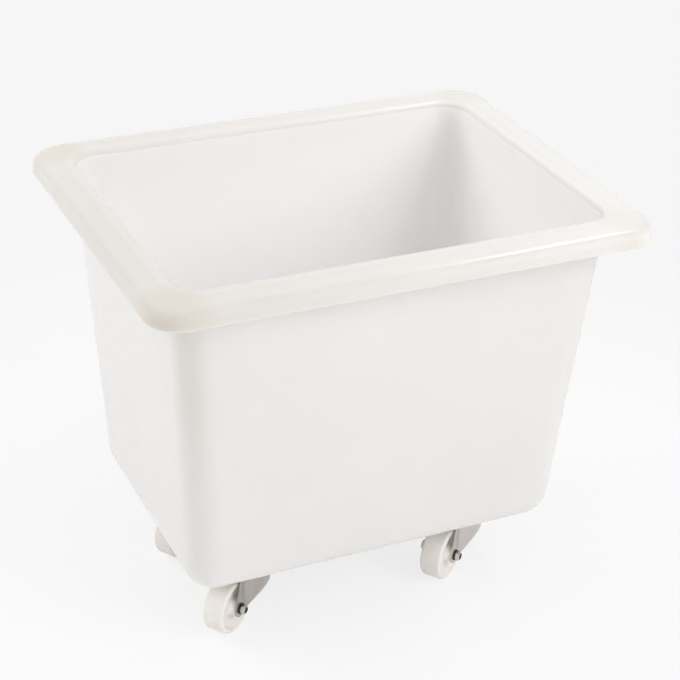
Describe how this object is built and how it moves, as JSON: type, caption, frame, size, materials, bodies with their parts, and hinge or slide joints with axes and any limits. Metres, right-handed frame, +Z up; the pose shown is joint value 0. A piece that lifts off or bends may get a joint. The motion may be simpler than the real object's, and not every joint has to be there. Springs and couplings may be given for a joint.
{
  "type": "wheeled bin",
  "caption": "Tapered open plastic bin with a broad turned-down rim, on swivel castors with nylon wheels and pressed stainless forks.",
  "frame": {"origin": "on the floor under the middle of the tub", "axes": "+X along the tub's long side, +Z up"},
  "size_m": [0.6998, 0.5398, 0.595],
  "materials": {
    "tub_polyethylene": "white rotomoulded polyethylene, semi-gloss",
    "wheel_nylon": "off-white moulded nylon",
    "pressed_stainless": "deep-drawn stainless steel sheet",
    "turned_stainless": "turned and cold-headed stainless steel",
    "seal_rubber": "grey nitrile rubber",
    "bearing_steel": "polished bearing balls"
  },
  "bodies": {
    "tub": {"tub": "tub_polyethylene", "base_bolts": "turned_stainless", "sealing_washers": "seal_rubber", "spring_washers": "turned_stainless", "base_nuts": "turned_stainless", "front_left_top_plate": "pressed_stainless", "front_left_kingpin": "turned_stainless", "front_left_lower_cup": "turned_stainless", "front_left_dust_seal": "seal_rubber", "front_right_top_plate": "pressed_stainless", "front_right_kingpin": "turned_stainless", "front_right_lower_cup": "turned_stainless", "front_right_dust_seal": "seal_rubber", "rear_left_top_plate": "pressed_stainless", "rear_left_kingpin": "turned_stainless", "rear_left_lower_cup": "turned_stainless", "rear_left_dust_seal": "seal_rubber", "rear_right_top_plate": "pressed_stainless", "rear_right_kingpin": "turned_stainless", "rear_right_lower_cup": "turned_stainless", "rear_right_dust_seal": "seal_rubber"},
    "front_left_swivel": {"front_left_fork": "pressed_stainless", "front_left_bearing_balls": "bearing_steel", "front_left_axle_sleeve": "turned_stainless", "front_left_axle_bolt": "turned_stainless", "front_left_axle_nut": "turned_stainless", "front_left_axle_washers": "turned_stainless"},
    "front_left_wheel": {"front_left_wheel": "wheel_nylon"},
    "front_right_swivel": {"front_right_fork": "pressed_stainless", "front_right_bearing_balls": "bearing_steel", "front_right_axle_sleeve": "turned_stainless", "front_right_axle_bolt": "turned_stainless", "front_right_axle_nut": "turned_stainless", "front_right_axle_washers": "turned_stainless"},
    "front_right_wheel": {"front_right_wheel": "wheel_nylon"},
    "rear_left_swivel": {"rear_left_fork": "pressed_stainless", "rear_left_bearing_balls": "bearing_steel", "rear_left_axle_sleeve": "turned_stainless", "rear_left_axle_bolt": "turned_stainless", "rear_left_axle_nut": "turned_stainless", "rear_left_axle_washers": "turned_stainless"},
    "rear_left_wheel": {"rear_left_wheel": "wheel_nylon"},
    "rear_right_swivel": {"rear_right_fork": "pressed_stainless", "rear_right_bearing_balls": "bearing_steel", "rear_right_axle_sleeve": "turned_stainless", "rear_right_axle_bolt": "turned_stainless", "rear_right_axle_nut": "turned_stainless", "rear_right_axle_washers": "turned_stainless"},
    "rear_right_wheel": {"rear_right_wheel": "wheel_nylon"}
  },
  "joints": [
    {"name": "front_left_swivel", "type": "hinge", "parent": "tub", "child": "front_left_swivel", "pos_m": [-0.168, -0.096, 0.095], "axis": [0, 0, 1], "continuous": true},
    {"name": "front_left_wheel", "type": "hinge", "parent": "front_left_swivel", "child": "front_left_wheel", "pos_m": [-0.20154, -0.12128, 0.04], "axis": [0.6018, -0.7986, 0], "continuous": true},
    {"name": "front_right_swivel", "type": "hinge", "parent": "tub", "child": "front_right_swivel", "pos_m": [0.168, -0.096, 0.095], "axis": [0, 0, 1], "continuous": true},
    {"name": "front_right_wheel", "type": "hinge", "parent": "front_right_swivel", "child": "front_right_wheel", "pos_m": [0.13446, -0.12128, 0.04], "axis": [0.6018, -0.7986, 0], "continuous": true},
    {"name": "rear_left_swivel", "type": "hinge", "parent": "tub", "child": "rear_left_swivel", "pos_m": [-0.168, 0.096, 0.095], "axis": [0, 0, 1], "continuous": true},
    {"name": "rear_left_wheel", "type": "hinge", "parent": "rear_left_swivel", "child": "rear_left_wheel", "pos_m": [-0.20261, 0.07221, 0.04], "axis": [0.5664, -0.8241, 0], "continuous": true},
    {"name": "rear_right_swivel", "type": "hinge", "parent": "tub", "child": "rear_right_swivel", "pos_m": [0.168, 0.096, 0.095], "axis": [0, 0, 1], "continuous": true},
    {"name": "rear_right_wheel", "type": "hinge", "parent": "rear_right_swivel", "child": "rear_right_wheel", "pos_m": [0.13402, 0.07131, 0.04], "axis": [0.5878, -0.809, 0], "continuous": true}
  ]
}
